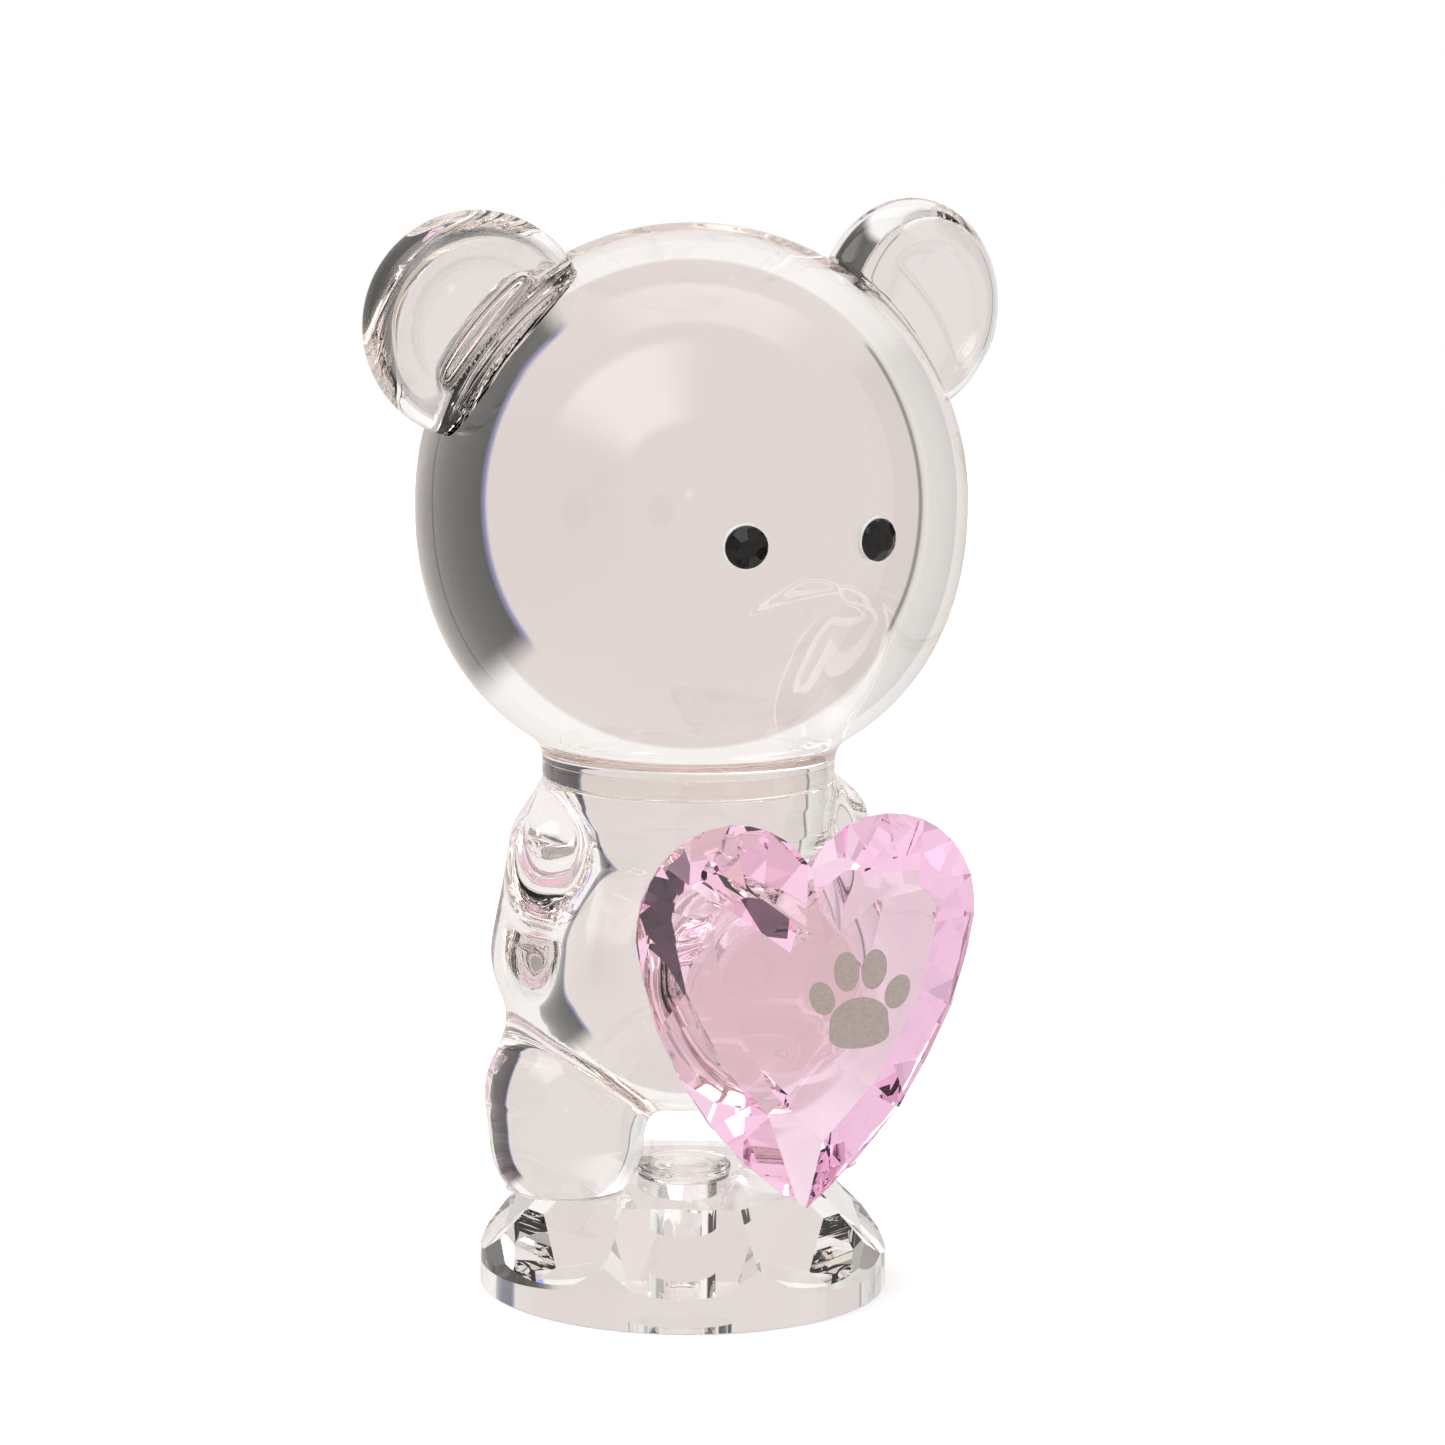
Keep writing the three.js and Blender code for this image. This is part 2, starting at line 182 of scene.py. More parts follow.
def body_field(p):
    """Torso, arms and legs. The creases are crisp in front and softer at the back."""
    side = p.copy()
    side[..., 0] = np.abs(side[..., 0])
    belly = ellipsoid(p, BELLY_CENTRE, BELLY_RADII)
    neck = round_rod(p, CHEST, THROAT, CHEST_RADIUS, NECK_RADIUS - 0.1)
    arm = round_rod(side, SHOULDER, PAW, SHOULDER_RADIUS, PAW_RADIUS)
    leg = round_rod(side, HIP, FOOT, HIP_RADIUS, FOOT_RADIUS)
    boss_across = np.hypot(p[..., 0], p[..., 2] - BOND_Z)
    boss = round_disc(boss_across, p[..., 1] - BELLY_Y - 3, BOND_RADIUS + 0.6, 3.4, 0.6)
    behind = ramp(p[..., 1], -5, 3)
    torso = smooth_union(belly, neck, 4.0)
    torso = smooth_union(torso, arm, 1.6 + 3 * behind)
    torso = smooth_union(torso, leg, 1.6 + 2 * behind)
    return smooth_union(torso, boss, 1.2)


def ear_frame(side):
    """The middle of an ear, and the turn that takes a point into its own upright, forward-facing frame."""
    low, high = corners("ear_left" if side > 0 else "ear_right")
    middle = np.array([side * 21.5, -0.4, high[2] - 10.3])
    turn = math.radians(side * EAR_TURN)
    matrix = np.array([
        [math.cos(turn), math.sin(turn), 0],
        [-math.sin(turn), math.cos(turn), 0],
        [0, 0, 1],
    ])
    return middle, matrix


def whole_ear(side):
    """An ear before its root is shaped to the head: a thick lens with a dished front."""
    middle, matrix = ear_frame(side)

    def field(p):
        q = (p - middle) @ matrix.T
        lens = ellipsoid(q, (0, 0, 0), EAR_RADII)
        dish = round_disc(np.hypot(q[..., 0], q[..., 2]), q[..., 1] + 5.3, 6.4, 3.4, 1.6)
        dish = smooth_cut(dish, np.linalg.norm(p - HEAD_CENTRE, axis=-1) - (HEAD_RADIUS + 3.2), 1.2)
        return smooth_cut(lens, dish, 0.7)

    return field


def ear_field(side):
    whole = whole_ear(side)

    def field(p):
        head = np.linalg.norm(p - HEAD_CENTRE, axis=-1) - (HEAD_RADIUS + 0.3)
        return smooth_cut(whole(p), head, 0.3)

    return field


# ---------------------------------------------------------------- meshes

def steepness(field, points, step=0.02):
    """The outward unit normals of a field at some points."""
    slopes = []
    for axis in range(3):
        shift = np.zeros(3)
        shift[axis] = step
        slopes.append(field(points + shift) - field(points - shift))
    normals = np.stack(slopes, axis=-1)
    return normals / (np.linalg.norm(normals, axis=-1, keepdims=True) + 1e-12)


def surface_of(field, low, high, voxel):
    """Points and faces of a field's zero surface, with every point moved exactly onto it."""
    low = np.array(low, float) - 3 * voxel
    counts = np.ceil((np.array(high, float) + 3 * voxel - low) / voxel).astype(int)
    steps = np.meshgrid(*[np.arange(n) for n in counts], indexing="ij")
    values = field(low + np.stack(steps, axis=-1) * voxel)
    grid = openvdb.FloatGrid(background=3 * voxel)
    grid.copyFromArray(np.clip(values, -3 * voxel, 3 * voxel).astype(np.float32))
    points, faces = grid.convertToQuads(isovalue=0.0)
    points = low + np.asarray(points, float) * voxel
    for _ in range(4):
        points -= field(points)[:, None] * steepness(field, points)
    return points, np.asarray(faces)


def new_object(name, mesh, material, *cad_nodes, slot):
    """Adds a piece that rides on the one body and stands for the CAD nodes given."""
    thing = bpy.data.objects.new(name, mesh)
    bpy.context.scene.collection.objects.link(thing)
    mesh.materials.append(material)
    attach(thing, "root")
    if cad_nodes:
        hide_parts(*cad_nodes)
    return thing


def keep_side(bm, point, normal):
    """Cuts away what lies beyond a plane and closes the cut with flat faces."""
    everything = bm.verts[:] + bm.edges[:] + bm.faces[:]
    cut = bmesh.ops.bisect_plane(
        bm, geom=everything, dist=1e-5, plane_co=point, plane_no=normal, clear_outer=True
    )
    edges = [e for e in cut["geom_cut"] if isinstance(e, bmesh.types.BMEdge)]
    if edges:
        bmesh.ops.edgeloop_fill(bm, edges=edges)


def pressed_mesh(name, field, low, high, cuts=(), voxel=VOXEL):
    """A smooth glass pressing: a field's surface, ground flat by cuts of (point, outward normal)."""
    points, faces = surface_of(field, low, high, voxel)
    bm = bmesh.new()
    corners_of = [bm.verts.new(p) for p in points]
    for face in faces:
        bm.faces.new([corners_of[i] for i in face])
    for point, normal in cuts:
        keep_side(bm, Vector(point), Vector(normal))
    bmesh.ops.recalc_face_normals(bm, faces=bm.faces[:])
    mesh = bpy.data.meshes.new(name)
    bm.to_mesh(mesh)
    bm.free()
    smooth_from_field(mesh, field, cuts)
    mesh.transform(Matrix.Scale(MM, 4))
    return mesh


def smooth_from_field(mesh, field, cuts):
    """Gives curved faces the field's own normals, and ground faces their flat one."""
    points = np.empty(len(mesh.vertices) * 3)
    mesh.vertices.foreach_get("co", points)
    points = points.reshape(-1, 3)
    curved = steepness(field, points)
    loop_vertices = np.empty(len(mesh.loops), int)
    mesh.loops.foreach_get("vertex_index", loop_vertices)
    sizes = np.empty(len(mesh.polygons), int)
    mesh.polygons.foreach_get("loop_total", sizes)
    flat = np.empty(len(mesh.polygons) * 3)
    mesh.polygons.foreach_get("normal", flat)
    flat = flat.reshape(-1, 3)
    centres = np.empty(len(mesh.polygons) * 3)
    mesh.polygons.foreach_get("center", centres)
    centres = centres.reshape(-1, 3)
    ground = np.zeros(len(mesh.polygons), bool)
    for point, normal in cuts:
        on_plane = np.abs((centres - np.array(point)) @ np.array(normal, float)) < 1e-3
        ground |= on_plane & (flat @ np.array(normal, float) > 0.999)
    normals = curved[loop_vertices]
    loop_ground = np.repeat(ground, sizes)
    normals[loop_ground] = np.repeat(flat, sizes, axis=0)[loop_ground]
    mesh.polygons.foreach_set("use_smooth", np.ones(len(mesh.polygons), bool))
    mesh.normals_split_custom_set(normals.tolist())


def turned_mesh(name, profile, sides=96):
    """A mesh turned about Z from a profile of (radius, height) that starts and ends on the axis."""
    bm = bmesh.new()
    rings = []
    for radius, height in profile:
        if radius < 1e-6:
            rings.append([bm.verts.new((0, 0, height))])
            continue
        turns = [2 * math.pi * k / sides for k in range(sides)]
        rings.append([bm.verts.new((radius * math.cos(t), radius * math.sin(t), height)) for t in turns])
    for below, above in zip(rings, rings[1:]):
        for k in range(sides):
            after = (k + 1) % sides
            lower = [below[k % len(below)], below[after % len(below)]]
            upper = [above[after % len(above)], above[k % len(above)]]
            bm.faces.new(list(dict.fromkeys(lower + upper)))
    bmesh.ops.recalc_face_normals(bm, faces=bm.faces[:])
    for face in bm.faces:
        face.smooth = True
    mesh = bpy.data.meshes.new(name)
    bm.to_mesh(mesh)
    bm.free()
    return mesh


def rounded_profile(radius, low, high, edge, steps=5):
    """Profile of a disc or post with quarter-round edges."""
    profile = [(0, low)]
    for k in range(steps + 1):
        turn = math.radians(-90 + 90 * k / steps)
        profile.append((radius - edge + edge * math.cos(turn), low + edge + edge * math.sin(turn)))
    for k in range(steps + 1):
        turn = math.radians(90 * k / steps)
        profile.append((radius - edge + edge * math.cos(turn), high - edge + edge * math.sin(turn)))
    return profile + [(0, high)]


# ---------------------------------------------------------------- materials

GLASS_IOR = 1.52
CLEAR_TINT = (0.52, 0.2, 0.1)
CLEAR_DENSITY = 2.4


def shader(name):
    """A new material, its nodes, its links and its main shader."""
    material = bpy.data.materials.new(name)
    material.use_nodes = True
    nodes = material.node_tree.nodes
    return material, nodes, material.node_tree.links, nodes["Principled BSDF"]


def cloud(nodes, links, coordinates, principled, low, high, scale):
    """Lets the base colour drift between two colours, softly and at random."""
    noise = nodes.new("ShaderNodeTexNoise")
    noise.inputs["Scale"].default_value = scale
    noise.inputs["Detail"].default_value = 2.0
    links.new(coordinates, noise.inputs["Vector"])
    ramp_node = nodes.new("ShaderNodeValToRGB")
    ramp_node.color_ramp.elements[0].position = 0.35
    ramp_node.color_ramp.elements[1].position = 0.65
    ramp_node.color_ramp.elements[0].color = (*low, 1)
    ramp_node.color_ramp.elements[1].color = (*high, 1)
    links.new(noise.outputs["Fac"], ramp_node.inputs["Fac"])
    links.new(ramp_node.outputs["Color"], principled.inputs["Base Color"])


def maths(nodes, links, operation, first, second=None, third=None):
    """The output of one math node. Each operand is a number or another node's output."""
    node = nodes.new("ShaderNodeMath")
    node.operation = operation
    for socket, value in zip(node.inputs, (first, second, third)):
        if value is None:
            continue
        if isinstance(value, (int, float)):
            socket.default_value = value
        else:
            links.new(value, socket)
    return node.outputs[0]


def place(nodes, links):
    """The x, y and z outputs of a point's place on the object, in metres."""
    coordinates = nodes.new("ShaderNodeTexCoord")
    split = nodes.new("ShaderNodeSeparateXYZ")
    links.new(coordinates.outputs["Object"], split.inputs[0])
    return coordinates.outputs["Object"], list(split.outputs)


def window_mask(nodes, links, xyz, axis, level, centre, radius):
    """1 inside a flat round window at a level along an axis, and 0 elsewhere. All in millimetres."""
    others = [k for k in range(3) if k != axis]
    off = maths(nodes, links, "ABSOLUTE", maths(nodes, links, "SUBTRACT", xyz[axis], level * MM))
    near = maths(nodes, links, "LESS_THAN", off, 0.03 * MM)
    a, b = [
        maths(nodes, links, "POWER", maths(nodes, links, "SUBTRACT", xyz[k], centre[i] * MM), 2)
        for i, k in enumerate(others)
    ]
    inside = maths(nodes, links, "LESS_THAN", maths(nodes, links, "ADD", a, b), (radius * MM) ** 2)
    return maths(nodes, links, "MULTIPLY", near, inside)


def sphere_mask(nodes, links, xyz, reach):
    """1 within a distance of the head's centre, in millimetres."""
    squares = [
        maths(nodes, links, "POWER", maths(nodes, links, "SUBTRACT", xyz[k], HEAD_CENTRE[k] * MM), 2)
        for k in range(3)
    ]
    total = maths(nodes, links, "ADD", maths(nodes, links, "ADD", squares[0], squares[1]), squares[2])
    return maths(nodes, links, "LESS_THAN", total, (reach * MM) ** 2)


def footprint_mask(nodes, links, coordinates, side):
    """1 on the head where an ear stands on it."""
    middle, _ = ear_frame(side)
    mapping = nodes.new("ShaderNodeMapping")
    mapping.vector_type = "TEXTURE"
    mapping.inputs["Location"].default_value = Vector(middle) * MM
    mapping.inputs["Rotation"].default_value = (0, 0, math.radians(side * EAR_TURN))
    mapping.inputs["Scale"].default_value = Vector(EAR_RADII) * MM
    links.new(coordinates, mapping.inputs["Vector"])
    length = nodes.new("ShaderNodeVectorMath")
    length.operation = "LENGTH"
    links.new(mapping.outputs[0], length.inputs[0])
    return maths(nodes, links, "LESS_THAN", length.outputs["Value"], 1)


def crystal(name, tint, density, skin=(1, 1, 1), windows=(), root_reach=None, ripple=0.0, wetted=()):
    """Polished crystal, tinted by its own thickness.

    In its windows the index is 1, which stands in for adhesive that joins two pieces without a glint.
    """
    material, nodes, links, principled = shader(name)
    principled.inputs["Roughness"].default_value = 0.0
    principled.inputs["Transmission Weight"].default_value = 1.0
    principled.inputs["IOR"].default_value = GLASS_IOR
    coordinates, xyz = place(nodes, links)
    cloud(nodes, links, coordinates, principled, [channel * 0.985 for channel in skin], skin, scale=70)
    masks = [window_mask(nodes, links, xyz, *window) for window in windows]
    masks += [footprint_mask(nodes, links, coordinates, side) for side in wetted]
    if root_reach:
        masks.append(sphere_mask(nodes, links, xyz, root_reach))
    if masks:
        joined = masks[0]
        for mask in masks[1:]:
            joined = maths(nodes, links, "MAXIMUM", joined, mask)
        index = maths(nodes, links, "MULTIPLY_ADD", joined, 1 - GLASS_IOR, GLASS_IOR)
        links.new(index, principled.inputs["IOR"])
    absorption = nodes.new("ShaderNodeVolumeAbsorption")
    absorption.inputs["Color"].default_value = (*tint, 1)
    absorption.inputs["Density"].default_value = density
    links.new(absorption.outputs[0], nodes["Material Output"].inputs["Volume"])
    if ripple:
        add_ripple(nodes, links, principled, coordinates, ripple)
    return material


def add_ripple(nodes, links, principled, coordinates, strength):
    """The faint waviness that pressing and fire polishing leave in the glass."""
    noise = nodes.new("ShaderNodeTexNoise")
    noise.inputs["Scale"].default_value = 90
    noise.inputs["Detail"].default_value = 1.0
    links.new(coordinates, noise.inputs["Vector"])
    bump = nodes.new("ShaderNodeBump")
    bump.inputs["Strength"].default_value = strength
    bump.inputs["Distance"].default_value = 0.001
    links.new(noise.outputs["Fac"], bump.inputs["Height"])
    links.new(bump.outputs[0], principled.inputs["Normal"])


def adhesive_material():
    """Cured adhesive bead: clear with a little milkiness."""
    material, nodes, links, principled = shader("clear_adhesive_bead")
    principled.inputs["Roughness"].default_value = 0.1
    principled.inputs["Transmission Weight"].default_value = 0.4
    principled.inputs["IOR"].default_value = 1.48
    coordinates, _ = place(nodes, links)
    cloud(nodes, links, coordinates, principled, (0.9, 0.89, 0.86), (0.98, 0.97, 0.96), scale=900)
    return material


def etched_material():
    """Sandblasted glass: a pale greyish frost, a little uneven."""
    material, nodes, links, principled = shader("frosted_etching")
    principled.inputs["Roughness"].default_value = 0.75
    coordinates, _ = place(nodes, links)
    cloud(nodes, links, coordinates, principled, (0.30, 0.24, 0.22), (0.35, 0.285, 0.265), scale=4000)
    return material


def jet_material():
    """Polished black stone with a trace of brown in its depth."""
    material, nodes, links, principled = shader("jet_stone")
    principled.inputs["Roughness"].default_value = 0.03
    principled.inputs["Specular IOR Level"].default_value = 0.22
    coordinates, _ = place(nodes, links)
    cloud(nodes, links, coordinates, principled, (0.004, 0.004, 0.005), (0.012, 0.009, 0.008), scale=1500)
    return material


# ---------------------------------------------------------------- base and plug

def flat_facets(bm, name, smooth_wall=False):
    """Finishes a faceted mesh, with its upright wall shaded round if wanted."""
    bmesh.ops.recalc_face_normals(bm, faces=bm.faces[:])
    mesh = bpy.data.meshes.new(name)
    bm.to_mesh(mesh)
    bm.free()
    if smooth_wall:
        round_wall_normals(mesh)
    mesh.transform(Matrix.Scale(MM, 4))
    return mesh


def round_wall_normals(mesh):
    """Shades upright wall faces as a true cylinder about Z and leaves the facets flat."""
    normals = []
    for face in mesh.polygons:
        wall = abs(face.normal.z) < 1e-4
        inward = face.normal.xy.dot(face.center.xy) < 0
        for vertex in face.vertices:
            if wall:
                outward = Vector((*mesh.vertices[vertex].co.xy, 0)).normalized()
                normals.append(-outward if inward else outward)
            else:
                normals.append(face.normal.copy())
        face.use_smooth = True
    mesh.normals_split_custom_set(normals)


def disc_block(radius, low, high, sides):
    """An upright round block for facets to be cut into."""
    bm = bmesh.new()
    bmesh.ops.create_cone(
        bm, cap_ends=True, segments=sides, radius1=radius, radius2=radius, depth=high - low,
        matrix=Matrix.Translation((0, 0, (low + high) / 2)),
    )
    return bm


BORE_RADIUS = (plug_high[0] - plug_low[0]) / 2 * 0.74
BORE_FLOOR = plug_low[2] - FILM


def base_mesh():
    """Round base: eight broad crown facets, a steep small one between each two, and a blind bore."""
    bm = disc_block(BASE_RADIUS, 0, TABLE_Z, 256)
    crown = math.atan2(TABLE_Z - GIRDLE_Z, BASE_RADIUS - TABLE_RADIUS)
    corner = math.radians(72)
    for k in range(8):
        for turn, lean in ((45 * k, crown), (45 * k + 22.5, corner)):
            angle = math.radians(BASE_TURN - 90 + turn)
            outward = Vector((math.cos(angle), math.sin(angle), 0))
            normal = outward * math.sin(lean) + Vector((0, 0, math.cos(lean)))
            keep_side(bm, outward * BASE_RADIUS + Vector((0, 0, GIRDLE_Z)), normal)
    cut_bore(bm)
    return flat_facets(bm, "base", smooth_wall=True)


def cut_bore(bm, sides=96):
    """Opens a round hole in the table and lines it with a wall and a floor."""
    table = max(bm.faces, key=lambda f: f.calc_center_median().z)
    rim = list(table.edges)
    bmesh.ops.delete(bm, geom=[table], context="FACES_ONLY")
    turns = [2 * math.pi * k / sides for k in range(sides)]

    def ring(radius, height):
        return [bm.verts.new((radius * math.cos(t), radius * math.sin(t), height)) for t in turns]

    mouth, foot = ring(BORE_RADIUS, TABLE_Z), ring(BORE_RADIUS, BORE_FLOOR)
    mouth_edges = [bm.edges.new((mouth[k], mouth[(k + 1) % sides])) for k in range(sides)]
    for k in range(sides):
        after = (k + 1) % sides
        bm.faces.new((mouth[k], mouth[after], foot[after], foot[k]))
    bm.faces.new(foot)
    filled = bmesh.ops.triangle_fill(bm, edges=rim + mouth_edges, use_beauty=True)
    made = [f for f in filled["geom"] if isinstance(f, bmesh.types.BMFace)]
    seams = list({edge for face in made for edge in face.edges})
    bmesh.ops.dissolve_limit(bm, angle_limit=0.001, verts=[], edges=seams)


def plug_mesh():
    """A mushroom-shaped plug: dished head, narrow stem."""
    stem = BORE_RADIUS - 0.12
    head = (plug_high[0] - plug_low[0]) / 2
    seat = TABLE_Z + FILM
    profile = [(0, plug_low[2]), (stem - 0.5, plug_low[2]), (stem, plug_low[2] + 0.5), (stem, seat - 0.05)]
    rim = rounded_profile(head, seat, plug_high[2], 0.35)[2:-1]
    profile += [(stem + 0.15, seat)] + rim + [(head * 0.7, plug_high[2] - 0.12), (0, plug_high[2] - 0.3)]
    mesh = turned_mesh("base_plug", profile)
    mesh.set_sharp_from_angle(angle=math.radians(35))
    mesh.transform(Matrix.Scale(MM, 4))
    return mesh


def film_mesh(name, radius, low, high, middle=(0, 0), wave=0.0, bulge=0.0):
    """A thin round film of adhesive with a gently wavy edge that bulges a little."""
    sides, rows = 128, 6
    bm = bmesh.new()
    rings = []
    for row in range(rows + 1):
        share = row / rows
        height = low + share * (high - low)
        out = bulge * math.sin(math.pi * share)
        ring = []
        for k in range(sides):
            turn = 2 * math.pi * k / sides
            reach = radius + out + wave * (math.sin(7 * turn) + 0.6 * math.sin(11 * turn + 1) - 1.2)
            x = middle[0] + reach * math.cos(turn)
            y = middle[1] + reach * math.sin(turn)
            ring.append(bm.verts.new((x, y, height)))
        rings.append(ring)
    bm.faces.new(rings[0])
    bm.faces.new(rings[-1])
    for below, above in zip(rings, rings[1:]):
        for k in range(sides):
            after = (k + 1) % sides
            bm.faces.new((below[k], below[after], above[after], above[k])).smooth = True
    bmesh.ops.recalc_face_normals(bm, faces=bm.faces[:])
    mesh = bpy.data.meshes.new(name)
    bm.to_mesh(mesh)
    bm.free()
    mesh.set_sharp_from_angle(angle=math.radians(50))
    mesh.transform(Matrix.Scale(MM, 4))
    return mesh


def root_film_mesh(side, name, rows=10, sides=96):
    """The film under an ear: two layers that follow the head, out to where the ear's outline meets it."""
    middle, _ = ear_frame(side)
    whole = whole_ear(side)
    axis = (middle - HEAD_CENTRE) / np.linalg.norm(middle - HEAD_CENTRE)
    across = np.cross(axis, [0, 1, 0])
    across /= np.linalg.norm(across)
    upward = np.cross(axis, across)
    turns = np.arange(sides) * 2 * math.pi / sides
    outward = np.cos(turns)[:, None] * across + np.sin(turns)[:, None] * upward

    def on_sphere(lean, reach):
        return HEAD_CENTRE + reach * (np.cos(lean)[:, None] * axis + np.sin(lean)[:, None] * outward)

    inner, outer = np.zeros(sides), np.full(sides, 0.6)
    for _ in range(30):
        lean = (inner + outer) / 2
        inside = whole(on_sphere(lean, HEAD_RADIUS + 0.15)) < 0
        inner, outer = np.where(inside, lean, inner), np.where(inside, outer, lean)
    bm = bmesh.new()
    rings = []
    layers = (
        (HEAD_RADIUS + AIR_GAP, range(1, rows + 1)),
        (HEAD_RADIUS + FILM - AIR_GAP, range(rows, 0, -1)),
    )
    for reach, order in layers:
        layer_rings = [[bm.verts.new(p) for p in on_sphere(inner * k / rows, reach)] for k in order]
        centre = bm.verts.new(HEAD_CENTRE + reach * axis)
        first = layer_rings[0] if order[0] == 1 else layer_rings[-1]
        for k in range(sides):
            bm.faces.new((centre, first[k], first[(k + 1) % sides]))
        rings += layer_rings
    for below, above in zip(rings, rings[1:]):
        for k in range(sides):
            after = (k + 1) % sides
            bm.faces.new((below[k], below[after], above[after], above[k]))
    bmesh.ops.recalc_face_normals(bm, faces=bm.faces[:])
    for face in bm.faces:
        face.smooth = True
    mesh = bpy.data.meshes.new(name)
    bm.to_mesh(mesh)
    bm.free()
    mesh.set_sharp_from_angle(angle=math.radians(50))
    mesh.transform(Matrix.Scale(MM, 4))
    return mesh


# ---------------------------------------------------------------- heart

LOBE_X, LOBE_Z = 7.6, heart_high[2] - 8.9
LOBE_RADIUS = 8.9
TIP_Z = heart_low[2]
LOWEST_LOBE_TURN = -10  # degrees, where the round lobe passes into the long side
GIRDLE_HALF = 1.2
TABLE_INSET = 0.08  # keeps the heart's flat front a hair behind the CAD front
GIRDLE_TURNS = (144, 132, 120, 108, 96, 84, 72, 60, 48, 36, 24, 12, 0, -10, -18, -26, -34, -42, -50, -56)


def side_arc():
    """Radius and centre of the arc that leaves the lobe smoothly and ends at the tip."""
    leave = np.array([math.cos(math.radians(LOWEST_LOBE_TURN)), math.sin(math.radians(LOWEST_LOBE_TURN))])
    lobe = np.array([LOBE_X, LOBE_Z])
    to_tip = np.array([0, TIP_Z]) - lobe
    along = to_tip @ leave
    radius = (to_tip @ to_tip + LOBE_RADIUS ** 2 - 2 * LOBE_RADIUS * along) / (2 * LOBE_RADIUS - 2 * along)
    return radius, lobe + leave * (LOBE_RADIUS - radius)


SIDE_RADIUS, SIDE_CENTRE = side_arc()


def heart_reach(turn):
    """How far the half outline reaches in a direction, in degrees from +X towards +Z."""
    direction = np.array([math.cos(math.radians(turn)), math.sin(math.radians(turn))])
    if turn >= LOWEST_LOBE_TURN:
        return np.array([LOBE_X, LOBE_Z]) @ direction + LOBE_RADIUS
    return SIDE_CENTRE @ direction + SIDE_RADIUS


def lean_cut(bm, face, turn, reach, lean, inset=0.0):
    """One facet that leans from the girdle's rim towards the front (-1) or the back (+1)."""
    angle, tilt = math.radians(turn), math.radians(lean)
    outward = Vector((math.cos(angle), 0, math.sin(angle)))
    normal = outward * math.cos(tilt) + Vector((0, face * math.sin(tilt), 0))
    rim = outward * (reach - inset) + Vector((0, HEART_CENTRE_Y + face * GIRDLE_HALF, 0))
    keep_side(bm, rim, normal)


def facet_rows(bm, face, rows):
    """Rows of facets, each with its lean, its inset, its step along the girdle's flats and its first flat."""
    for lean, inset, step, start in rows:
        for k in range(start, len(GIRDLE_TURNS) - step // 2, step):
            turn = GIRDLE_TURNS[k]
            if step > 1:
                after = min(k + 1, len(GIRDLE_TURNS) - 1)
                turn = (GIRDLE_TURNS[k] + GIRDLE_TURNS[after]) / 2
            lean_cut(bm, face, turn, heart_reach(turn), lean, inset)


def heart_mesh():
    """A mirrored pair of convex halves: girdle flats, crown and pavilion facets, flat front and back."""
    front = heart_low[1] + TABLE_INSET
    width, height = LOBE_X + LOBE_RADIUS + 1, LOBE_Z + LOBE_RADIUS + 1
    bm = bmesh.new()
    bmesh.ops.create_cube(bm, size=1)
    bmesh.ops.scale(bm, vec=(width, HEART_BACK_Y - front, height), verts=bm.verts[:])
    bmesh.ops.translate(bm, vec=(width / 2, (front + HEART_BACK_Y) / 2, height / 2), verts=bm.verts[:])
    for turn in GIRDLE_TURNS:
        outward = Vector((math.cos(math.radians(turn)), 0, math.sin(math.radians(turn))))
        keep_side(bm, outward * heart_reach(turn), outward)
    facet_rows(bm, -1, [(36, 0, 1, 0), (46, 0.08, 2, 0), (58, 1.0, 2, 1)])
    facet_rows(bm, 1, [(26, 0, 1, 0), (34, 0.1, 2, 0), (44, 1.5, 2, 1)])
    middle = [f for f in bm.faces if all(abs(v.co.x) < 1e-4 for v in f.verts)]
    bmesh.ops.delete(bm, geom=middle, context="FACES_ONLY")
    bmesh.ops.mirror(bm, geom=bm.verts[:] + bm.edges[:] + bm.faces[:], axis="X", merge_dist=1e-4)
    bmesh.ops.remove_doubles(bm, verts=bm.verts[:], dist=1e-3)
    bmesh.ops.dissolve_limit(bm, angle_limit=0.002, verts=bm.verts[:], edges=bm.edges[:])
    return flat_facets(bm, "heart")


ETCH_X, ETCH_Z = 3.4, BOND_Z + 0.3
ETCH_DEPTH = 0.03


def etching_mesh():
    """A frosted paw print on the heart's flat front: one broad pad and four toes."""
    front = heart_low[1] + TABLE_INSET - 0.01
    pads = [((0, -1.6), 2.9, 2.3, 0), ((-3.7, 0.9), 1.15, 1.6, 28), ((-1.35, 3.1), 1.25, 1.8, 8)]
    pads += [((1.35, 3.1), 1.25, 1.8, -8), ((3.7, 0.9), 1.15, 1.6, -28)]
    bm = bmesh.new()
    for (x, z), half_width, half_height, lean in pads:
        outline = pad_outline(half_width, half_height, lean, broad=lean == 0)
        rings = []
        for depth in (0, ETCH_DEPTH):
            y = front - depth
            rings.append([bm.verts.new((ETCH_X + x + u, y, ETCH_Z + z + v)) for u, v in outline])
        bm.faces.new(rings[0])
        bm.faces.new(rings[1])
        for k in range(len(outline)):
            after = (k + 1) % len(outline)
            bm.faces.new((rings[0][k], rings[0][after], rings[1][after], rings[1][k]))
    return flat_facets(bm, "heart_etching")


def pad_outline(half_width, half_height, lean, broad, steps=40):
    """An oval that leans, or for the broad pad an oval with a narrowed top and a dented foot."""
    turn = math.radians(lean)
    outline = []
    for k in range(steps):
        angle = 2 * math.pi * k / steps
        u, v = half_width * math.cos(angle), half_height * math.sin(angle)
        if broad:
            u *= 1 - 0.22 * math.sin(angle)
            v += 0.5 * math.cos(angle) ** 2 * (1 if v > 0 else -1)
        outline.append((u * math.cos(turn) - v * math.sin(turn), u * math.sin(turn) + v * math.cos(turn)))
    return outline


# ---------------------------------------------------------------- eyes

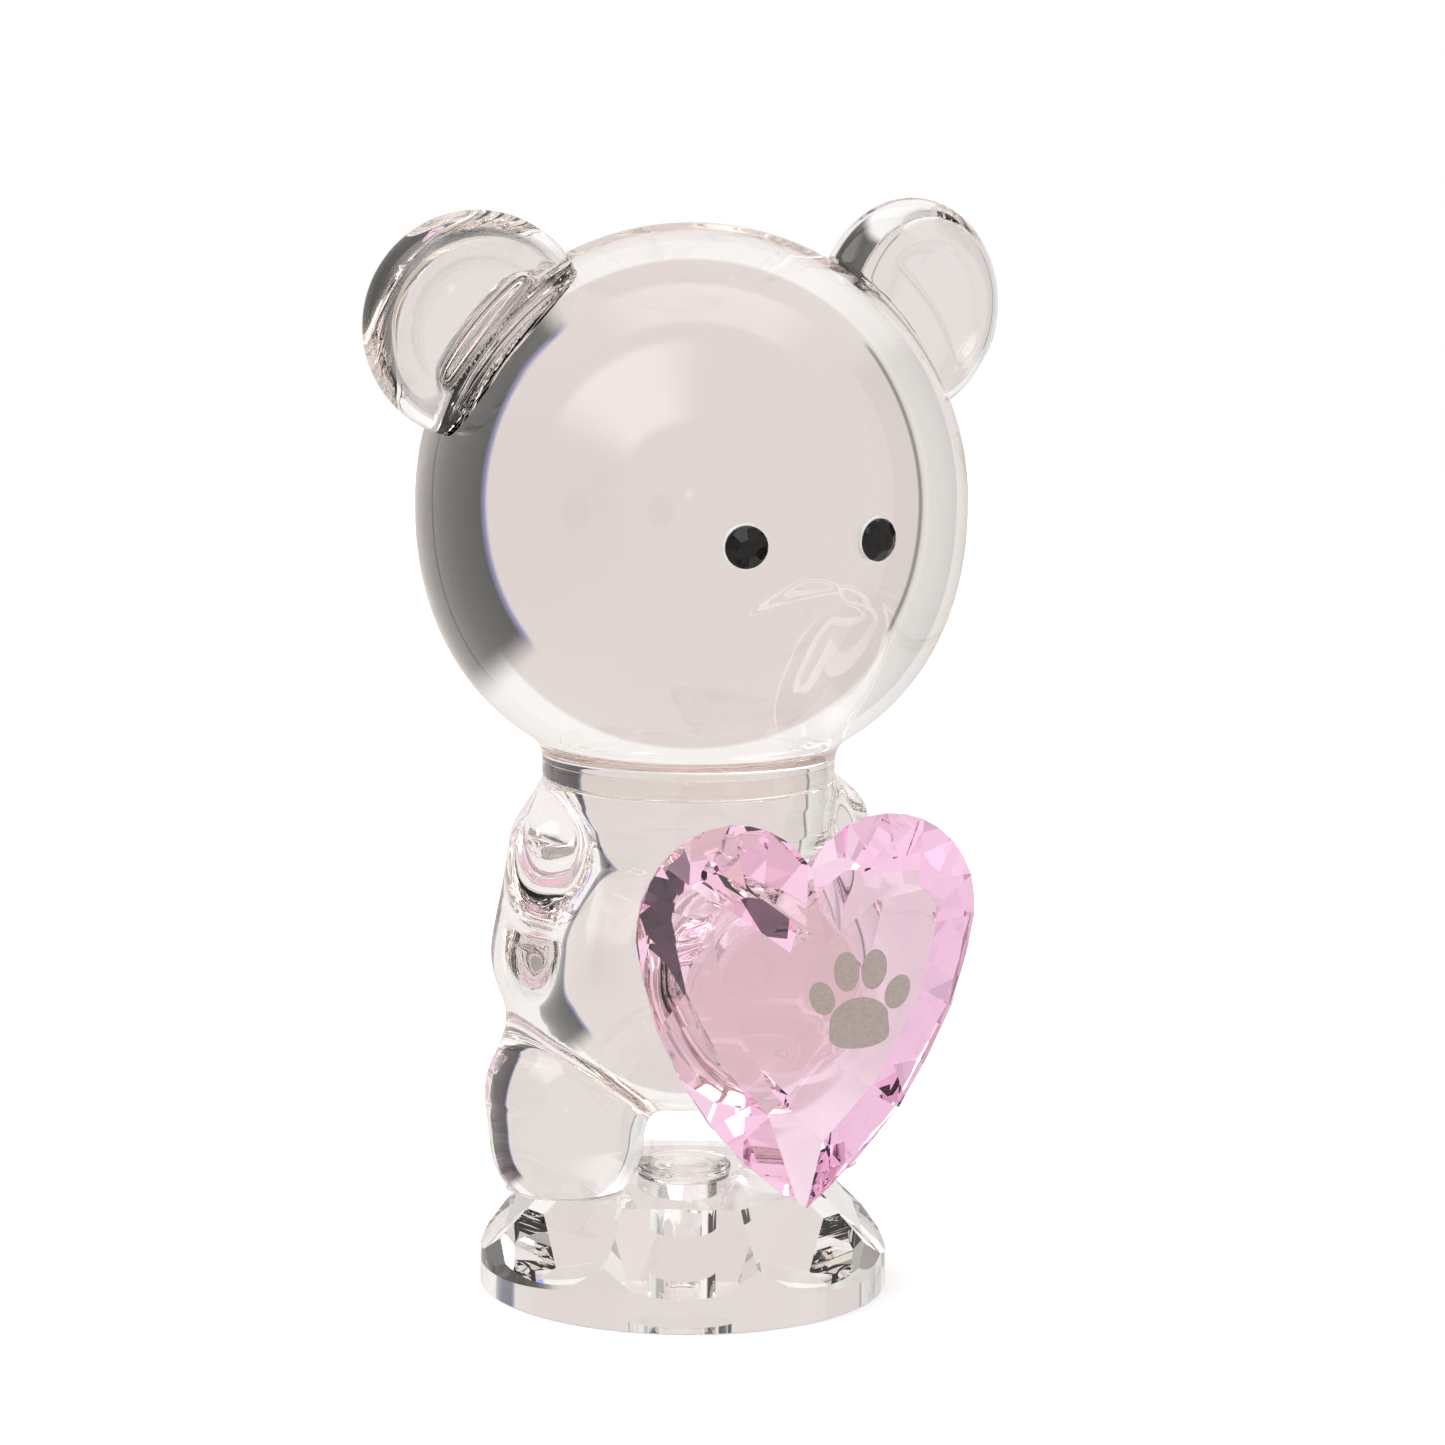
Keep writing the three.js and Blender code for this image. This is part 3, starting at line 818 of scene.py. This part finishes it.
def on_head(mesh, side, node):
    """Stands a mesh that is turned about +Z where a CAD node sits on the head."""
    low, high = corners(node)
    outward = Vector((low + high) / 2 - HEAD_CENTRE).normalized()
    turn = Vector((0, 0, 1)).rotation_difference(outward).to_matrix().to_4x4()
    surface = Vector(HEAD_CENTRE) + outward * (HEAD_RADIUS + 0.02)
    mesh.transform(Matrix.Scale(MM, 4) @ Matrix.Translation(surface) @ turn)
    return mesh


def stone_mesh(side):
    """A flat-backed black stone with a table and two rows of facets."""
    radius, height, back = 1.9, 1.3, 0.25
    bm = disc_block(radius, back, back + height, 48)
    rows_of_facets = (  # count, first turn and lean in degrees, and the place that each facet passes through
        (16, 0, 52, radius, height * 0.3),
        (8, 11.25, 38, radius * 0.96, height * 0.38),
    )
    for count, first, lean, reach, rise in rows_of_facets:
        for k in range(count):
            angle, tilt = math.radians(first + 360 / count * k), math.radians(lean)
            outward = Vector((math.cos(angle), math.sin(angle), 0))
            normal = outward * math.sin(tilt) + Vector((0, 0, math.cos(tilt)))
            keep_side(bm, outward * reach + Vector((0, 0, back + rise)), normal)
    bmesh.ops.recalc_face_normals(bm, faces=bm.faces[:])
    name = "eye_left" if side > 0 else "eye_right"
    mesh = bpy.data.meshes.new(name)
    bm.to_mesh(mesh)
    bm.free()
    return on_head(mesh, side, name)


def bead_mesh(side):
    """The rounded ring of adhesive that a stone is set in."""
    name = "eye_bond_left" if side > 0 else "eye_bond_right"
    mesh = turned_mesh(name, rounded_profile(2.08, -0.1, 0.5, 0.28, 6), 64)
    return on_head(mesh, side, name)


# ---------------------------------------------------------------- build

FOOT_BOND_X, FOOT_BOND_Y, FOOT_BOND_RADIUS = 12, 0.2, 5.4


def build_pieces():
    clear = dict(tint=CLEAR_TINT, density=CLEAR_DENSITY)
    base_glass = crystal("clear_crystal_base", **clear)
    plug_glass = crystal("clear_crystal_plug", **clear)
    body_glass = crystal(
        "clear_crystal_body", **clear, ripple=0.02,
        windows=[
            (2, NECK_Z, (0, 0), NECK_RADIUS - 0.5),
            (1, BELLY_Y, (0, BOND_Z), BOND_RADIUS),
        ],
    )
    head_glass = crystal(
        "clear_crystal_head", **clear, windows=[(2, HEAD_FOOT_Z, (0, 0), NECK_RADIUS - 0.5)], wetted=(-1, 1)
    )
    ear_glass = crystal("clear_crystal_ear", **clear, ripple=0.02, root_reach=HEAD_RADIUS + 0.36)
    ear_film = crystal("clear_adhesive_ear_film", tint=(0.9, 0.85, 0.6), density=30, wetted=(-1, 1))
    pink_glass = crystal(
        "pink_crystal", tint=(0.97, 0.45, 0.8), density=13, skin=(1, 0.81, 0.92),
        windows=[(1, HEART_BACK_Y, (0, BOND_Z), BOND_RADIUS)],
    )
    film = crystal(
        "clear_adhesive_film", tint=(0.9, 0.85, 0.7), density=20, skin=(0.96, 0.93, 0.9),
        windows=[
            (2, NECK_Z + AIR_GAP, (0, 0), NECK_RADIUS - 0.5),
            (2, HEAD_FOOT_Z - AIR_GAP, (0, 0), NECK_RADIUS - 0.5),
            (1, BELLY_Y - AIR_GAP, (0, BOND_Z), BOND_RADIUS),
            (1, HEART_BACK_Y + AIR_GAP, (0, BOND_Z), BOND_RADIUS),
        ],
    )
    bead, jet = adhesive_material(), jet_material()

    new_object("base", base_mesh(), base_glass, "base", slot="clear_crystal")
    new_object("base_plug", plug_mesh(), plug_glass, "base_plug", slot="clear_crystal")
    # A plain disc stands in for the collar under the plug's head. It passes through the plug's stem.
    plug_film = film_mesh("plug_bond", BORE_RADIUS + 0.9, TABLE_Z + 0.02, TABLE_Z + 0.28, bulge=0.1)
    new_object("plug_bond", plug_film, film, "plug_bond", slot="clear_adhesive")

    body = pressed_mesh(
        "body", body_field, body_low - [1, 1, 1], body_high + [1, 1, 1.5],
        cuts=[
            ((0, 0, NECK_Z), (0, 0, 1)),
            ((0, 0, SOLE_Z), (0, 0, -1)),
            ((0, BELLY_Y, 0), (0, -1, 0)),
        ],
    )
    new_object("body", body, body_glass, "body", slot="clear_crystal")
    head = pressed_mesh(
        "head", head_field, head_low - 1, head_high + 1, cuts=[((0, 0, HEAD_FOOT_Z), (0, 0, -1))]
    )
    new_object("head", head, head_glass, "head", slot="clear_crystal")

    neck_film = film_mesh(
        "neck_bond", NECK_RADIUS - 0.4, NECK_Z + AIR_GAP, HEAD_FOOT_Z - AIR_GAP, wave=0.05, bulge=0.15
    )
    new_object("neck_bond", neck_film, film, "neck_bond", slot="clear_adhesive")
    heart_film = film_mesh("heart_bond", BOND_RADIUS, AIR_GAP, FILM - AIR_GAP, bulge=0.1)
    to_front = Matrix.Rotation(math.radians(90), 4, "X")
    heart_film.transform(Matrix.Translation((0, BELLY_Y * MM, BOND_Z * MM)) @ to_front)
    new_object("heart_bond", heart_film, film, "heart_bond", slot="clear_adhesive")
    new_object("heart", heart_mesh(), pink_glass, "heart", slot="pink_crystal")
    new_object("heart_etching", etching_mesh(), etched_material(), slot="pink_crystal")

    for name, side in (("left", 1), ("right", -1)):
        ear_low, ear_high = corners(f"ear_{name}")
        ear = pressed_mesh(f"ear_{name}", ear_field(side), ear_low - 1, ear_high + 1, voxel=VOXEL * 0.8)
        new_object(f"ear_{name}", ear, ear_glass, f"ear_{name}", slot="clear_crystal")
        root_film = root_film_mesh(side, f"ear_bond_{name}")
        new_object(f"ear_bond_{name}", root_film, ear_film, f"ear_bond_{name}", slot="clear_adhesive")
        # A whole disc, so it reaches past the edge of the base's table as the sole above it does.
        foot_film = film_mesh(
            f"foot_bond_{name}", FOOT_BOND_RADIUS, TABLE_Z + AIR_GAP, SOLE_Z - AIR_GAP,
            middle=(side * FOOT_BOND_X, FOOT_BOND_Y), wave=0.12,
        )
        new_object(f"foot_bond_{name}", foot_film, bead, f"foot_bond_{name}", slot="clear_adhesive")
        new_object(f"eye_{name}", stone_mesh(side), jet, f"eye_{name}", slot="jet_stone")
        new_object(f"eye_bond_{name}", bead_mesh(side), bead, f"eye_bond_{name}", slot="clear_adhesive")


# ---------------------------------------------------------------- floor, light and camera

VIEW_TURN = -25.6  # degrees that the camera stands round from the bear's front
VIEW_PITCH = 10.14  # degrees that it looks down


def make_floor():
    """Pale matt paper. Only the camera sees it, since the glass looks past it into the studio."""
    bpy.ops.mesh.primitive_circle_add(vertices=128, radius=0.6, fill_type="NGON", location=(0, 0, -0.0001))
    floor = bpy.context.object
    floor.name = "floor"
    floor.visible_transmission = False
    floor.visible_glossy = False
    material, nodes, links, principled = shader("pale_floor")
    principled.inputs["Base Color"].default_value = (0.9, 0.9, 0.9, 1)
    principled.inputs["Roughness"].default_value = 0.9
    principled.inputs["Emission Color"].default_value = (1, 1, 1, 1)
    principled.inputs["Emission Strength"].default_value = 0.25
    floor.data.materials.append(material)


def soft_step(nodes, links, value, low, high):
    """0 below one value and 1 above the other, or the other way round where low is the larger."""
    step = nodes.new("ShaderNodeMapRange")
    step.interpolation_type = "SMOOTHSTEP"
    links.new(value, step.inputs["Value"])
    step.inputs["From Min"].default_value = low
    step.inputs["From Max"].default_value = high
    return step.outputs[0]


def panel(nodes, links, away, around, rings, turns, soft):
    """A soft-edged patch of the studio: how far from the view's axis, and which way round it, in degrees."""
    edges = [
        soft_step(nodes, links, away, math.radians(rings[0] - soft), math.radians(rings[0] + soft)),
        soft_step(nodes, links, away, math.radians(rings[1] + soft), math.radians(rings[1] - soft)),
        soft_step(nodes, links, around, math.radians(turns[0] - 5 * soft), math.radians(turns[0] + 5 * soft)),
        soft_step(nodes, links, around, math.radians(turns[1] + 5 * soft), math.radians(turns[1] - 5 * soft)),
    ]
    mask = edges[0]
    for edge in edges[1:]:
        mask = maths(nodes, links, "MULTIPLY", mask, edge)
    return mask


def layer(nodes, links, mask, below, colour):
    """A colour laid over what is below, where the mask is 1."""
    mix = nodes.new("ShaderNodeMix")
    mix.data_type = "RGBA"
    links.new(mask, mix.inputs[0])
    if isinstance(below, tuple):
        mix.inputs[6].default_value = (*below, 1)
    else:
        links.new(below, mix.inputs[6])
    mix.inputs[7].default_value = (*colour, 1)
    return mix.outputs[2]


def make_world():
    """Soft patches at fixed directions: a backdrop, a dark card, soft boxes and thin coloured streaks.

    They are laid out around the main view and were tuned for the refractions in that view alone.
    From other sides they fall elsewhere in the glass. The camera itself sees plain white.
    """
    world = bpy.data.worlds.new("studio")
    bpy.context.scene.world = world
    world.use_nodes = True
    nodes, links = world.node_tree.nodes, world.node_tree.links
    coordinates = nodes.new("ShaderNodeTexCoord")
    turn = nodes.new("ShaderNodeVectorRotate")
    turn.rotation_type = "EULER_XYZ"
    turn.invert = True
    turn.inputs["Rotation"].default_value = (math.radians(-VIEW_PITCH), 0, math.radians(VIEW_TURN))
    links.new(coordinates.outputs["Generated"], turn.inputs["Vector"])
    split = nodes.new("ShaderNodeSeparateXYZ")
    links.new(turn.outputs[0], split.inputs[0])
    right, ahead, up = split.outputs
    away = maths(nodes, links, "ARCCOSINE", ahead)
    around = maths(nodes, links, "ARCTAN2", up, right)
    grey, plain, dark = (0.78, 0.72, 0.69), (0.84, 0.83, 0.8), (0.05, 0.05, 0.046)
    patches = [
        ((0, 46), (-200, 200), 1, grey),
        ((46, 84), (-200, -130), 3, plain),
        ((46, 84), (140, 200), 3, plain),
        ((84, 150), (-200, -150), 6, (0.4, 0.4, 0.38)),
        ((84, 150), (150, 200), 6, (0.4, 0.4, 0.38)),
        ((43, 44.5), (150, 200), 0.5, (0.3, 0.28, 0.27)),
        ((43, 44.5), (-200, -140), 0.5, (0.3, 0.28, 0.27)),
        ((35, 36.5), (-50, 40), 0.7, (0.3, 0.3, 0.6)),
        ((36, 88), (-50, 40), 1, dark),
        ((88, 95), (-50, 40), 2, (0.75, 0.7, 0.5)),
        ((104, 108), (-62, -46), 0.7, (0.3, 0.4, 1.1)),
        ((82, 104), (60, 112), 2, (2.6, 2.6, 2.6)),
        ((114, 150), (96, 146), 3, (3.8, 3.8, 3.8)),
    ]
    colour = (1.0, 1.0, 0.985)
    for rings, turns, soft, shown in patches:
        colour = layer(nodes, links, panel(nodes, links, away, around, rings, turns, soft), colour, shown)
    rays = nodes.new("ShaderNodeLightPath")
    seen = layer(nodes, links, rays.outputs["Is Camera Ray"], colour, (1, 1, 1))
    links.new(seen, nodes["Background"].inputs["Color"])


def make_camera():
    """Close by, a little above and turned from the bear's front, all in metres and degrees."""
    distance, height, aside = 0.502, 0.142, 0.0034
    roll = 0.74
    turn = math.radians(VIEW_TURN)
    data = bpy.data.cameras.new("camera")
    data.lens = 138.5
    data.sensor_width = 36
    camera = bpy.data.objects.new("camera", data)
    bpy.context.scene.collection.objects.link(camera)
    camera.location = (math.sin(turn) * distance + aside, -math.cos(turn) * distance, height)
    looking = Matrix.Rotation(turn, 4, "Z") @ Matrix.Rotation(math.radians(90 - VIEW_PITCH), 4, "X")
    camera.rotation_euler = (looking @ Matrix.Rotation(math.radians(roll), 4, "Z")).to_euler()
    data.clip_start, data.clip_end = 0.01, 20
    bpy.context.scene.camera = camera


def set_light_paths():
    """Enough bounces for light to cross several pieces of glass."""
    scene = bpy.context.scene
    scene.view_settings.view_transform = "Standard"
    scene.cycles.max_bounces = 32
    scene.cycles.transmission_bounces = 32
    scene.cycles.glossy_bounces = 12
    scene.cycles.transparent_max_bounces = 16


build_pieces()
make_floor()
make_world()
make_camera()
set_light_paths()
